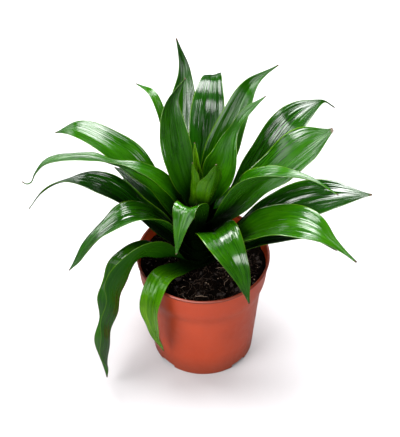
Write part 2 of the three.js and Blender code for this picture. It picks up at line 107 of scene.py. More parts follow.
# Each leaf grows in an upright plane through the cane at its azimuth (0 is +X, 90 is the back).
# ripple is the height of the waves of its margins. tone is 0 for an old dark leaf and 1 for a young
# lime one, or runs from root to tip. widths, fold, roll and rib, which is the midrib as (out, up,
# aside), run from root to tip too, as in the CAD source.
Leaf = namedtuple("Leaf", "azimuth ripple tone widths fold roll rib")
LEAVES = {
    "leaf_top": (99, 1, 0.15, [13, 21, 27, 30, 27, 12, 1.2], [15, 25, 30, 25], [0, -5, -5, 10],
        [(10, 128), (36, 160, 1), (64, 195, 4), (88, 219, 0), (104, 242, -3), (113, 269, 2)]),
    "leaf_back_left": (127, 1, 0.22, [13, 24, 29, 30, 25, 10, 1.2], [15, 30, 35, 30], [0, -25, -30, -20],
        [(9, 171), (22, 203, 3), (35, 236, 1), (42, 261, -4), (38, 281, -15)]),
    "leaf_back_left_thin": (129, 0.8, 0.5, [13, 18, 18, 14, 11, 8, 1], [15, 30, 30, 20], [0],
        [(10, 149), (26, 177), (41, 212), (53, 244), (64, 256), (85, 254)]),
    "leaf_back": (85, 1, 0.1, [13, 22, 29, 32, 29, 17, 2], [15, 25, 12, 10], [0, 0, -10, -10],
        [(10, 146), (29, 172, 1), (51, 205, -2), (72, 233, -3), (93, 241, -4), (114, 226, -5)]),
    "leaf_back_right": (50, 1, 0.2, [13, 26, 32, 30, 22, 9, 1.2], [15, 25, 30, 35], [0, 15, 20, 10],
        [(10, 163), (20, 187), (33, 210, 1), (51, 237, 2), (72, 258, 3), (107, 262)]),
    "leaf_right_upright": (33, 1, 0.3, [13, 28, 34, 23, 9, 8, 1], [15, 25, 25, 20], [0, 20, 30, 10],
        [(8, 172), (17, 191, -2), (26, 212, -2), (35, 233, 3), (47, 250, 3), (67, 264)]),
    "leaf_right_upper": (34, 1.5, 0.15, [13, 23, 31, 35, 36, 36, 28, 7, 2.5], [15, 25, 20, 20],
        [0, 5, 5, 5],
        [(11, 141, -2), (42, 153), (60, 174, -1), (78, 202, -1), (98, 221, -1), (118, 229, -1),
         (132, 228), (145, 216)]),
    "leaf_right_broad": (3, 1.5, 0.25, [13, 24, 34, 41, 43, 38, 4], [15, 25, 20, 10], [0, 10, 15, 15],
        [(11, 149), (32, 165), (58, 197), (85, 228), (111, 253)]),
    "leaf_right_curled": (-22, 1.5, 0.35, [13, 25, 33, 36, 28, 12, 4.5, 1], [15, 35, 35, 20],
        [0, -10, -10, 0],
        [(10, 158), (26, 177), (41, 202, -1), (60, 225, -2), (83, 235, -1), (102, 235), (122, 227)]),
    "leaf_right_level": (-2, 1.5, 0.12, [13, 24, 34, 40, 39, 28, 2], [15, 25, 20, 10], [0, 15, 15, 0],
        [(11, 118), (54, 150), (78, 172), (101, 182), (124, 187), (148, 190)]),
    "leaf_right_front": (-26, 1.5, 0.42, [13, 27, 38, 42, 34, 12, 2], [15, 25, 20, 10], [0, 8, 10, 0],
        [(11, 127), (34, 144), (61, 169), (86, 186), (107, 188), (125, 180), (146, 168)]),
    "leaf_right_low": (-20, 1, 0, [13, 17, 18, 16, 11, 6, 1], [15, 25, 20, 10], [0],
        [(11, 110), (33, 127), (70, 153), (100, 168), (125, 160)]),
    "leaf_front_right": (-62, 1, 0.3, [13, 28, 36, 33, 21, 11, 1.5], [15, 20, 15, 10], [0],
        [(12, 139), (20, 154), (30, 166), (42, 170, -2), (58, 161, 1), (69, 143, 5), (79, 120, 7)]),
    "leaf_front_small": (-100, 0.5, 0.5, [12, 17, 24, 24, 16, 8, 1.5], [15, 20, 10, 5], [0, 5, 12, 5],
        [(11, 147, 1), (15, 169), (20, 187, -1), (26, 191, -6), (32, 181, -9), (43, 153, -12)]),
    "leaf_front_lime": (230, 1, [0.5, 0.6, 0.85, 1.0], [13, 20, 24, 22, 18, 12, 1.2], [15, 25, 25, 15], [0],
        [(10, 109), (29, 114), (50, 120), (64, 110, 3), (67, 95, 3), (65, 70, 4), (54, 30, 3)]),
    "leaf_left_upper": (161, 1.5, 0.25, [13, 20, 27, 35, 35, 24, 1.5], [15, 25, 20, 10], [0],
        [(11, 141), (28, 165), (46, 186), (66, 207, 1), (88, 222, 2), (112, 228, 1), (131, 219)]),
    "leaf_left_tailed": (181, 1, 0.25, [12, 21, 27, 24, 15, 15, 13, 4, 1], [15, 25, 20, 10],
        [0, 0, 0, 10, 35, 10, 5, 0, 0],
        [(10, 155), (25, 188), (46, 209), (70, 220), (87, 227), (108, 228), (128, 223), (138, 211),
         (142, 202), (146, 200), (150, 203)]),
    "leaf_left_shaded": (157, 1, 0, [13, 22, 30, 32, 28, 16, 1.2], [15, 30, 20, 10], [0],
        [(11, 133), (31, 158), (47, 172), (64, 182), (80, 189)]),
    "leaf_left_lower": (172, 1.5, 0.1, [13, 25, 32, 33, 28, 8, 4, 1], [15, 25, 20, 10],
        [0, 0, 5, 10, 20],
        [(11, 120), (39, 144), (54, 157), (70, 172), (86, 183), (104, 188), (122, 184), (139, 170),
         (153, 148)]),
    "leaf_left_front": (200, 1.5, 0.2, [13, 24, 33, 36, 32, 20, 1.5], [15, 25, 20, 10], [0, 10, 20, 10],
        [(11, 126), (25, 149), (41, 169, 1), (62, 179, 2), (84, 171, 2), (100, 156, 1), (119, 134)]),
    "leaf_left_hanging": (216, 2, 0.3, [13, 34, 42, 43, 36, 24, 1.5], [15, 45, 50, 45, 25],
        [0, 30, 35, 30, 15, 0],
        [(10, 115), (36, 131), (62, 144), (74, 136), (81, 118), (88, 98), (94, 80), (100, 56),
         (104, 14)]),
    "leaf_back_low_right": (62, 1.5, 0.1, [13, 24, 32, 34, 28, 16, 1.2], [15, 25, 20, 10], [0],
        [(11, 110), (35, 132), (60, 136), (80, 119), (92, 88)]),
    "leaf_back_low": (98, 1.5, 0.2, [13, 24, 34, 38, 33, 18, 1.5], [15, 25, 20, 10], [0],
        [(11, 116), (35, 147), (65, 168), (98, 160), (124, 128)]),
    "leaf_back_low_left": (134, 1.5, 0.1, [13, 24, 33, 36, 30, 17, 1.5], [15, 25, 20, 10], [0],
        [(11, 110), (35, 132), (62, 145), (95, 140), (118, 112)]),
    "leaf_heart_right": (-60, 1, 0.75, [12, 20, 26, 22, 11, 1.5], [30, 25, 25, 20], [0],
        [(11, 177), (14, 196, 3), (17, 216, 6), (22, 235, 4)]),
    "leaf_heart_left": (222, 0.5, 0.85, [8, 14, 14, 9, 1], [20, 25, 25, 15], [0],
        [(8, 178), (6, 192), (6, 209), (7, 226)]),
    "leaf_spear": (95, 0, 0.85, [12, 15, 13, 8, 1], [50, 60, 60, 45], [0],
        [(3, 187), (5, 205), (5, 223, 2), (5, 240, 3)]),
}
# Leaves that shine less than the others, as shares of full gloss, and how many millimetres a blade
# is rumpled.
GLOSS = {
    "leaf_back": 0.6, "leaf_top": 0.7, "leaf_left_tailed": 0.8, "leaf_front_lime": 0.35,
    "leaf_right_upright": 0.6, "leaf_back_right": 0.5, "leaf_left_upper": 0.8, "leaf_right_low": 0.4,
    "leaf_left_hanging": 0.55, "leaf_back_low_right": 0.04, "leaf_back_low": 0.4,
    "leaf_back_low_left": 0.3, "leaf_left_shaded": 0.5,
}
RUMPLED = {"leaf_left_hanging": 1.2}
YOUNG = ("leaf_front_lime", "leaf_heart_right", "leaf_heart_left", "leaf_spear")

# ---- colours, as linear red, green and blue. A pair is a surface's darker and lighter patches.
OLD_GREENS = (0.0006, 0.0100, 0.0001), (0.0040, 0.0500, 0.0002)
NEW_GREENS = (0.0100, 0.0820, 0.0002), (0.0340, 0.1600, 0.0004)
LIME_GREENS = (0.0600, 0.2200, 0.0005), (0.1700, 0.3700, 0.0010)
THREAD_GREEN = (0.008, 0.10, 0.0002)
GROOVE_GREEN = (0.0006, 0.012, 0.0001)
MARGIN_GREEN = (0.08, 0.18, 0.004)
UNDERSIDE_GREEN = (0.010, 0.075, 0.0010)
# painted shade for the leaf bases
BASE_SHADE_GREEN = (0.0005, 0.007, 0.0002)
# painted shade low by the cane, partly the dark colour of old sheaths
SHEATH_AND_SHADE_GREEN = (0.0010, 0.0035, 0.0004)
DRY_TIP = (0.075, 0.045, 0.018)
GLOW_GREEN = (0.035, 0.18, 0.0006)
# painted shade in the light through leaves low by the cane
SHEATH_AND_SHADE_GLOW = (0.001, 0.003, 0.0004)
POT_REDS = (0.445, 0.044, 0.008), (0.500, 0.055, 0.012)
POT_SCUFF = (0.36, 0.09, 0.04)
# painted shade for the lip
POT_LIP_SHADE = (0.20, 0.028, 0.010)
# painted shade for the foot
POT_FOOT_SHADE = (0.16, 0.036, 0.016)
SOIL_BROWNS = (0.0006, 0.0003, 0.0001), (0.0040, 0.0018, 0.0007)
SOIL_GRIT = (0.04, 0.018, 0.007)
CANE_GREENS = (0.05, 0.06, 0.018), (0.12, 0.13, 0.04)
BARK_BROWNS = (0.003, 0.0012, 0.0005), (0.020, 0.009, 0.004)
SPECK_GREYS = (0.16, 0.10, 0.06), (0.42, 0.33, 0.24)
FIBRE_BROWNS = (0.008, 0.0035, 0.0015), (0.050, 0.024, 0.010)
ROOT_GREYS = (0.12, 0.08, 0.05), (0.32, 0.23, 0.16)


# ---- node helpers
class Tree:
    """A material and short ways to add its nodes."""

    def __init__(self, name):
        self.material = bpy.data.materials.new(name)
        self.material.use_nodes = True
        self.tree = self.material.node_tree
        self.tree.nodes.clear()
        self.output = self.tree.nodes.new("ShaderNodeOutputMaterial")

    def node(self, kind, inputs=None, **settings):
        made = self.tree.nodes.new(kind)
        for key, value in settings.items():
            setattr(made, key, value)
        for key, value in (inputs or {}).items():
            self.put(made.inputs[key], value)
        return made

    def put(self, socket, value):
        if isinstance(value, bpy.types.NodeSocket):
            self.tree.links.new(value, socket)
        elif socket.type == "RGBA" and len(value) == 3:
            socket.default_value = (*value, 1)
        else:
            socket.default_value = value

    def attribute(self, name):
        return self.node("ShaderNodeAttribute", attribute_name=name).outputs["Fac"]

    def math(self, operation, a, b=0.0):
        return self.node("ShaderNodeMath", {0: a, 1: b}, operation=operation).outputs[0]

    def add(self, a, b):
        return self.math("ADD", a, b)

    def times(self, a, b):
        return self.math("MULTIPLY", a, b)

    def vector(self, x, y, z):
        return self.node("ShaderNodeCombineXYZ", {"X": x, "Y": y, "Z": z}).outputs[0]

    def position(self):
        return self.node("ShaderNodeTexCoord").outputs["Object"]

    def noise(self, vector, scale, detail, roughness):
        made = self.node("ShaderNodeTexNoise", {"Vector": vector, "Scale": scale, "Detail": detail,
                                                "Roughness": roughness})
        return made.outputs["Fac"]

    def remap(self, value, low, high, to_low=0.0, to_high=1.0):
        made = self.node("ShaderNodeMapRange", {"Value": value, "From Min": low, "From Max": high,
                                                "To Min": to_low, "To Max": to_high},
                         interpolation_type="SMOOTHSTEP")
        return made.outputs["Result"]

    def mix(self, share, a, b):
        made = self.node("ShaderNodeMix", data_type="RGBA")
        self.put(made.inputs[0], share)
        self.put(made.inputs[6], a)
        self.put(made.inputs[7], b)
        return made.outputs[2]

    def bump(self, height, strength, distance):
        made = self.node("ShaderNodeBump", {"Height": height, "Strength": strength,
                                            "Distance": distance})
        return made.outputs["Normal"]

    def principled(self, **inputs):
        named = {key.replace("_", " "): value for key, value in inputs.items()}
        return self.node("ShaderNodeBsdfPrincipled", named)

    def blend(self, share, first, second):
        made = self.node("ShaderNodeMixShader", {0: share})
        self.tree.links.new(first.outputs[0], made.inputs[1])
        self.tree.links.new(second.outputs[0], made.inputs[2])
        return made

    def finish(self, shader):
        self.tree.links.new(shader.outputs[0], self.output.inputs["Surface"])
        return self.material


# ---- materials
def shade_near_heart(t):
    """How much painted shade a point gets, which is partly the dark colour of old sheaths: most low down by
    the cane, none further out.
    """
    place = t.node("ShaderNodeSeparateXYZ", {0: t.position()})
    x, y = place.outputs["X"], place.outputs["Y"]
    out = t.math("POWER", t.add(t.times(x, x), t.times(y, y)), 0.5)
    return t.times(t.remap(out, 0.016, 0.040, 0.95, 0.0),
                   t.remap(place.outputs["Z"], 0.164, 0.198, 1.0, 0.0))


def leaf_material():
    """Glossy leaf skin. Its patterns run along the blade by the attributes that leaf_piece sets."""
    t = Tree("leaf_skin")
    across, along, seed = t.attribute("across"), t.attribute("along"), t.attribute("seed")
    tone, gloss, under = t.attribute("tone"), t.attribute("gloss"), t.attribute("under")
    spread = t.add(t.times(across, 4.5), t.times(seed, 37.0))

    def lengthwise(stretch, scale, detail, roughness):
        return t.noise(t.vector(spread, t.times(along, stretch), seed), scale, detail, roughness)

    stripes = lengthwise(1.6, 2.2, 3, 0.6)
    threads = lengthwise(1.2, 9.0, 2, 0.6)
    ribs = lengthwise(0.6, 2.1, 2, 0.5)
    blotch = t.noise(t.vector(t.times(across, 0.8), t.times(along, 3.0), seed), 1.6, 2, 0.5)
    heart = shade_near_heart(t)

    # colour, from the leaf's age to its streaks, margin and underside, then painted shade towards the base
    # and low by the cane, and the dry tip
    shade = t.add(t.times(stripes, 0.6), t.times(blotch, 0.5))
    old = t.mix(t.remap(shade, 0.38, 0.72), *OLD_GREENS)
    new = t.mix(t.remap(shade, 0.38, 0.72), *NEW_GREENS)
    lime = t.mix(t.remap(shade, 0.36, 0.72), *LIME_GREENS)
    green = t.mix(t.remap(tone, 0.0, 0.5), old, new)
    green = t.mix(t.remap(tone, 0.5, 1.0), green, lime)
    green = t.mix(t.remap(threads, 0.5, 0.75, 0.0, 0.25), green, THREAD_GREEN)
    green = t.mix(t.remap(threads, 0.28, 0.46, 0.55, 0.0), green, GROOVE_GREEN)
    margin = t.remap(t.add(t.math("ABSOLUTE", across), t.times(blotch, 0.03)), 0.970, 1.0, 0.0, 0.8)
    green = t.mix(margin, green, MARGIN_GREEN)
    green = t.mix(t.times(under, 0.5), green, UNDERSIDE_GREEN)
    # painted shade: the blade darkens towards its base, under the leaves above it
    green = t.mix(t.remap(along, 0.04, 0.36, 0.9, 0.0), green, BASE_SHADE_GREEN)
    # painted shade low by the cane, partly the dark colour of old sheaths
    green = t.mix(heart, green, SHEATH_AND_SHADE_GREEN)
    dry = t.remap(t.add(along, t.times(stripes, 0.012)), 0.984, 0.999)
    colour = t.mix(dry, green, DRY_TIP)

    # relief and shine
    ridges = t.math("SINE", t.times(across, 58.0))
    height = t.add(t.add(ribs, t.times(ridges, 0.05)), t.times(threads, 0.09))
    normal = t.bump(height, 0.9, 0.0006)
    rough = t.remap(t.add(threads, blotch), 0.7, 1.35, 0.10, 0.20)
    rough = t.add(rough, t.times(under, 0.08))
    shine = t.times(gloss, t.remap(along, 0.12, 0.50, 0.06, 1.0))
    shine = t.times(shine, t.remap(under, 0.0, 1.0, 1.0, 0.8))
    skin = t.principled(Base_Color=colour, Roughness=rough, Normal=normal, Specular_IOR_Level=shine)
    # the light through the leaf gets the same painted shade low by the cane
    glow = t.mix(heart, t.mix(0.5, colour, GLOW_GREEN), SHEATH_AND_SHADE_GLOW)
    through = t.node("ShaderNodeBsdfTranslucent", {"Color": glow, "Normal": normal})
    return t.finish(t.blend(0.10, skin, through))


def pot_material():
    """Satin terracotta-coloured plastic with scuffs, and painted shade on the lip and towards the foot."""
    t = Tree("pot_plastic")
    place = t.position()
    height = t.node("ShaderNodeSeparateXYZ", {0: place}).outputs["Z"]
    mottle = t.noise(place, 28.0, 4, 0.6)
    grain = t.noise(place, 900.0, 3, 0.6)
    scuff = t.noise(place, 140.0, 5, 0.7)
    colour = t.mix(t.remap(mottle, 0.3, 0.7), *POT_REDS)
    colour = t.mix(t.remap(scuff, 0.60, 0.78, 0.0, 0.22), colour, POT_SCUFF)
    # painted shade on the lip
    colour = t.mix(t.remap(height, 0.1112, 0.1118), colour, POT_LIP_SHADE)
    # painted shade, darkest at the foot and gone 30 mm up
    colour = t.mix(t.remap(height, 0.0, 0.030, 0.50, 0.0), colour, POT_FOOT_SHADE)
    rough = t.remap(t.add(mottle, scuff), 0.7, 1.4, 0.34, 0.52)
    normal = t.bump(t.add(grain, t.times(scuff, 0.5)), 0.12, 0.0004)
    return t.finish(t.principled(Base_Color=colour, Roughness=rough, Normal=normal,
                                 Specular_IOR_Level=0.60))


def soil_material():
    t = Tree("potting_soil")
    place = t.position()
    clump = t.noise(place, 130.0, 4, 0.65)
    grit = t.noise(place, 900.0, 4, 0.7)
    colour = t.mix(t.remap(clump, 0.3, 0.7), *SOIL_BROWNS)
    colour = t.mix(t.remap(grit, 0.62, 0.80, 0.0, 0.7), colour, SOIL_GRIT)
    normal = t.bump(t.add(t.times(clump, 1.5), grit), 0.9, 0.0012)
    return t.finish(t.principled(Base_Color=colour, Roughness=0.85, Normal=normal,
                                 Specular_IOR_Level=0.04))


def plain_material(name, colours, scale, roughness, bump=0.4):
    t = Tree(name)
    grain = t.noise(t.position(), scale, 4, 0.65)
    colour = t.mix(t.remap(grain, 0.3, 0.7), *colours)
    normal = t.bump(grain, bump, 0.0006)
    return t.finish(t.principled(Base_Color=colour, Roughness=roughness, Normal=normal))


# ---- mesh helpers
def mesh_object(name, points, faces, material, smooth=True):
    """A mesh object from points in millimetres."""
    mesh = bpy.data.meshes.new(name)
    mesh.from_pydata((np.asarray(points, float) * MM).tolist(), [], faces)
    mesh.materials.append(material)
    mesh.polygons.foreach_set("use_smooth", [smooth] * len(mesh.polygons))
    mesh.update()
    made = bpy.data.objects.new(name, mesh)
    bpy.context.scene.collection.objects.link(made)
    return made


def fit(piece, slot, *nodes):
    """Gives a piece its body and hides the CAD nodes that it stands for. slot is not used."""
    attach(piece, "root")
    if nodes:
        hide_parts(*nodes)
    return piece


def smoothstep(x, low=0.0, high=1.0):
    s = np.clip((x - low) / (high - low), 0, 1)
    return s * s * (3 - 2 * s)


def unit(vectors):
    return vectors / np.linalg.norm(vectors, axis=1)[:, None]


def circle(radius, z, sides, x=0, y=0):
    """Points spaced evenly round a level circle."""
    turns = [FULL_TURN * k / sides for k in range(sides)]
    return [(x + radius * math.cos(a), y + radius * math.sin(a), z) for a in turns]


def band(low, high, sides):
    """Faces between two rings of points, given by the number of each ring's first point."""
    return [(low + k, low + (k + 1) % sides, high + (k + 1) % sides, high + k) for k in range(sides)]


def cap(first, sides, upward=True):
    """One face over a ring of points."""
    ring = range(first, first + sides)
    return tuple(ring if upward else reversed(ring))


# ---- leaves
def value_along(values, t):
    """The value at t (0 at the root, 1 at the tip) of settings spread evenly along the leaf."""
    values = np.atleast_1d(values).astype(float)
    if len(values) == 1:
        return np.full_like(t, values[0])
    x = t * (len(values) - 1)
    i = np.clip(x.astype(int), 0, len(values) - 2)
    f = smoothstep(x - i)
    return values[i] * (1 - f) + values[i + 1] * f


def spine(points, steps):
    """A centripetal Catmull-Rom curve through points, cut into equal lengths, and its length."""
    points_per_span = 30
    p = np.asarray(points, float)
    p = np.vstack([2 * p[0] - p[1], p, 2 * p[-1] - p[-2]])
    curve = []
    for i in range(1, len(p) - 2):
        p0, p1, p2, p3 = p[i - 1:i + 3]
        gaps = [np.linalg.norm(b - a) ** 0.5 for a, b in ((p0, p1), (p1, p2), (p2, p3))]
        t0, t1, t2, t3 = np.cumsum([0, *gaps])
        for t in np.linspace(t1, t2, points_per_span, endpoint=False):
            a1 = (t1 - t) / (t1 - t0) * p0 + (t - t0) / (t1 - t0) * p1
            a2 = (t2 - t) / (t2 - t1) * p1 + (t - t1) / (t2 - t1) * p2
            a3 = (t3 - t) / (t3 - t2) * p2 + (t - t2) / (t3 - t2) * p3
            b1 = (t2 - t) / (t2 - t0) * a1 + (t - t0) / (t2 - t0) * a2
            b2 = (t3 - t) / (t3 - t1) * a2 + (t - t1) / (t3 - t1) * a3
            curve.append((t2 - t) / (t2 - t1) * b1 + (t - t1) / (t2 - t1) * b2)
    curve.append(p[-2])
    curve = np.array(curve)
    run = np.r_[0, np.cumsum(np.linalg.norm(np.diff(curve, axis=0), axis=1))]
    at = np.linspace(0, run[-1], steps + 1)
    return np.stack([np.interp(at, run, curve[:, k]) for k in range(3)], -1), run[-1]


def half_widths(widths, t):
    """Half the blade's width at each t, on a smooth curve through its widths."""
    x = t * (len(widths) - 1)
    i = np.minimum(x.astype(int), len(widths) - 2)
    padded = np.array([widths[0], *widths, widths[-1]], float)
    before, here, after, beyond = (padded[i + k] for k in range(4))
    f = x - i
    slope = (after - before) / 2
    bend = before - 2.5 * here + 2 * after - beyond / 2
    twist = 1.5 * (here - after) + (beyond - before) / 2
    return np.maximum(here + f * (slope + f * (bend + f * twist)), TIP_WIDTH) / 2


def relief(share, t, length, ripple, rumple, phases):
    """How far waves, frill, pleats and rumples lift the blade, and a factor for its uneven width.

    share runs across the blade, from -1 at one margin to 1 at the other."""
    swell = np.sin(np.pi * t) ** 0.7
    side = SIDE_SHIFT if share > 0 else 0
    wave = np.sin(FULL_TURN * (WAVES * t + side)) * np.sin(np.pi * t)
    frill = (np.sin(length * t / FRILL_PITCHES[0] + phases[0] + 2 * side)
             + np.sin(length * t / FRILL_PITCHES[1] + phases[1] + side))
    pleats = (math.sin(share * PLEAT_RATES[0] + phases[2])
              + 0.7 * math.sin(share * PLEAT_RATES[1] + phases[3]))
    lift = ripple * wave * share * share
    lift += FRILL_HEIGHT * min(ripple, 1) * frill * swell * abs(share) ** 5
    lift += PLEAT_HEIGHT * pleats * swell * (1 - share ** 8)
    lift += rumple * swell * np.sin(length * t / RUMPLE_PITCH + phases[5] + 3 * share)
    return lift, 1 + UNEVENNESS * swell * np.sin(length * t / UNEVEN_PITCH + phases[4] + 2 * side)


def blade_grid(leaf, rumple, seed, rows, columns):
    """The blade's middle surface, rows from root to tip, with a clasping base round the cane."""
    a = math.radians(leaf.azimuth)
    outward = np.array([math.cos(a), math.sin(a), 0])
    sideways = np.array([-math.sin(a), math.cos(a), 0])
    up = np.array([0, 0, 1.0])
    points = [out * outward + height * up + sum(aside) * sideways for out, height, *aside in leaf.rib]
    centre, length = spine(points, rows)
    t = np.linspace(0, 1, rows + 1)
    v = np.linspace(-1, 1, columns + 1)

    # the open blade, folded and rolled about its midrib
    ahead = unit(np.gradient(centre, axis=0))
    flat = unit(sideways - (ahead @ sideways)[:, None] * ahead)
    face = np.cross(ahead, flat)
    turn = np.radians(value_along(leaf.roll, t))[:, None]
    across = flat * np.cos(turn) + face * np.sin(turn)
    above = face * np.cos(turn) - flat * np.sin(turn)
    half = half_widths(leaf.widths, t)
    lean = np.radians(value_along(leaf.fold, t))
    rng = random.Random(seed)
    phases = [rng.uniform(0, 6.28) for _ in range(6)]
    grid = np.zeros((rows + 1, columns + 1, 3))
    for j, share in enumerate(v):
        lift, uneven = relief(share, t, length, leaf.ripple, rumple, phases)
        lift += half * np.sin(lean) * abs(share) ** 1.25
        grid[:, j] = (centre + across * (half * uneven * np.cos(lean) * share)[:, None]
                      + above * lift[:, None])

    # the base, which clasps the cane
    def ring(radius, turn, height):
        return (outward * (radius * np.cos(turn))[:, None]
                + sideways * (radius * np.sin(turn))[:, None] + up * height)

    sheathed = leaf.rib[0][1] < SHEATHED_BELOW
    out = np.maximum(centre @ outward, CLASP_RADIUS)
    clasp = (1 - smoothstep(t, 0.0, CLASP_END))[:, None]
    grip = half + (SHEATH_HALF_WIDTH - half[0]) * (1 - smoothstep(t, 0.0, SHEATH_END)) * sheathed
    for j, share in enumerate(v):
        grid[:, j] = grid[:, j] * (1 - clasp) + ring(out, share * grip / out, centre[:, 2:]) * clasp
    if sheathed:
        below = []
        for k in range(SHEATH_ROWS):
            down = (SHEATH_ROWS - k) / SHEATH_ROWS
            radius = SHEATH_RADIUS + (out[0] - SHEATH_RADIUS) * (1 - down)
            below.append(ring(radius, v * grip[0] / radius, centre[0, 2] - down * SHEATH_DEPTH))
        grid = np.concatenate([np.array(below), grid])
        t = np.concatenate([np.full(SHEATH_ROWS, 0.0), t])
    grid[..., 0] += CANE_X
    return grid, t, v


def leaf_piece(name, leaf, seed, material):
    """One blade with its thickness, and the values that its material reads at each point."""
    rows, columns = ((92, 30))
    grid, t, v = blade_grid(leaf, RUMPLED.get(name, 0), seed, rows, columns)
    normal = np.cross(np.gradient(grid, axis=0), np.gradient(grid, axis=1))
    normal /= np.maximum(np.linalg.norm(normal, axis=2), 1e-9)[..., None]
    midrib = MIDRIB_HALF * np.exp(-(v / MIDRIB_SHARE) ** 2)
    half_thick = MARGIN_HALF + INSIDE_HALF * (1 - v ** 4) + midrib
    offset = normal * half_thick[None, :, None]
    n, m = grid.shape[:2]
    count = n * m
    points = np.concatenate([(grid + offset).reshape(-1, 3), (grid - offset).reshape(-1, 3)])
    faces = []
    for i in range(n - 1):
        for j in range(m - 1):
            a = i * m + j
            faces.append((a, a + m, a + m + 1, a + 1))
            faces.append((count + a, count + a + 1, count + a + m + 1, count + a + m))
    margin = [i * m for i in range(n - 1)] + [(n - 1) * m + j for j in range(m - 1)]
    margin += [i * m + m - 1 for i in range(n - 1, 0, -1)] + list(range(m - 1, 0, -1))
    for a, b in zip(margin, margin[1:] + margin[:1]):
        faces.append((a, count + a, count + b, b))
    piece = mesh_object(name + "_blade", points, faces, material)
    top = {
        "along": np.repeat(t, m), "across": np.tile(v, n), "seed": np.full(count, (seed * 0.618) % 1.0),
        "tone": np.repeat(value_along(leaf.tone, t), m),
        "gloss": np.full(count, GLOSS.get(name, 1.0)),
    }
    values = {key: np.tile(value, 2) for key, value in top.items()}
    values["under"] = np.repeat([0.0, 1.0], count)
    for key, value in values.items():
        layer = piece.data.attributes.new(key, "FLOAT", "POINT")
        layer.data.foreach_set("value", value.astype(np.float32))
    return fit(piece, "young_leaf" if name in YOUNG else "leaf", name)


# ---- pot
def outer_radius(z):
    """The radius of the pot's outside, below its lip, at a height."""
    def run(a, b):
        return a[0] + (b[0] - a[0]) * (z - a[1]) / (b[1] - a[1])

    if z < SHOULDER_FOOT[1]:
        return run((BASE_RADIUS, 0), SHOULDER_FOOT)
    if z < BAND_FOOT[1]:
        return run(SHOULDER_FOOT, BAND_FOOT)
    return run(BAND_FOOT, (BAND_TOP_RADIUS, LIP_FOOT))


def inner_radius(z):
    return outer_radius(z) - WALL


def rounded(corners):
    """Cuts each corner (r, z, radius) of a profile into a short arc, within half of each side."""
    most, arc_points = 0.48, 6
    out = []
    for k, (r, z, radius) in enumerate(corners):
        if radius <= 0 or k in (0, len(corners) - 1):
            out.append((r, z))
            continue
        here = np.array([r, z], float)
        before, after = np.array(corners[k - 1][:2], float), np.array(corners[k + 1][:2], float)
        back, on = before - here, after - here
        back_length, on_length = np.linalg.norm(back), np.linalg.norm(on)
        cut = min(radius, back_length * most, on_length * most)
        start, end = here + back / back_length * cut, here + on / on_length * cut
        for s in np.linspace(0, 1, arc_points):
            out.append(tuple((1 - s) ** 2 * start + 2 * s * (1 - s) * here + s * s * end))
    return out


def pot_profile():
    """The wall's outline as (r, z), from the centre of the foot up, over the lip and down inside."""
    return rounded([
        (0, 0, 0), (PAD_RADIUS, 0, 0.6), (PAD_RADIUS + 2, GUTTER_HEIGHT, 0.6),
        (BASE_RADIUS - FOOT_RING - 1, GUTTER_HEIGHT, 0.6), (BASE_RADIUS - FOOT_RING, 0, 0.4),
        (BASE_RADIUS, 0, 1.2), (*SHOULDER_FOOT, 6), (*BAND_FOOT, 6),
        (outer_radius(LIP_FOOT), LIP_FOOT, 0.2), (RIM_RADIUS, LIP_FOOT, 0.6),
        (RIM_RADIUS, POT_HEIGHT, 0.8), (RIM_RADIUS - LIP_WIDTH, POT_HEIGHT, 0.5),
        (inner_radius(LIP_FOOT), LIP_FOOT - 1, 0.5), (inner_radius(BAND_FOOT[1]), BAND_FOOT[1], 3),
        (inner_radius(SHOULDER_FOOT[1]), SHOULDER_FOOT[1], 4),
        (inner_radius(GUTTER_HEIGHT), GUTTER_HEIGHT + FLOOR, 1.5),
        (PAD_RADIUS + 3, GUTTER_HEIGHT + FLOOR, 0.6), (PAD_RADIUS + 1, FLOOR, 0.6), (0, FLOOR, 0),
    ])


def notch_angles():
    """Round the pot, with a step at each side of every foot notch: (angle, is it in a notch)."""
    pitch = FULL_TURN / NOTCH_COUNT
    half, clear = math.radians(NOTCH_ANGLE / 2), math.radians(0.6)
    step = 0.002
    sides = 180
    marks = []
    for k in range(sides):
        angle = FULL_TURN * k / sides
        off = angle % pitch - pitch / 2
        if abs(abs(off) - half) > clear:
            marks.append((angle, abs(off) < half))
    for k in range(NOTCH_COUNT):
        middle = pitch / 2 + k * pitch
        for side in (-1, 1):
            edge = middle + side * half
            marks.append((edge % FULL_TURN, False))
            marks.append(((edge - side * step) % FULL_TURN, True))
    return sorted(marks)


def drain_cutter(material):
    """Upright rods where the drain holes go."""
    sides, bottom, top = 32, -5, 15
    points, faces = [], []
    for k in range(DRAIN_COUNT):
        turn = (k + 0.5) * FULL_TURN / DRAIN_COUNT
        x, y = DRAIN_RING * math.cos(turn), DRAIN_RING * math.sin(turn)
        low = len(points)
        high = low + sides
        points += circle(DRAIN_RADIUS, bottom, sides, x, y) + circle(DRAIN_RADIUS, top, sides, x, y)
        faces += band(low, high, sides) + [cap(low, sides, upward=False), cap(high, sides)]
    return mesh_object("drain_cutter", points, faces, material)


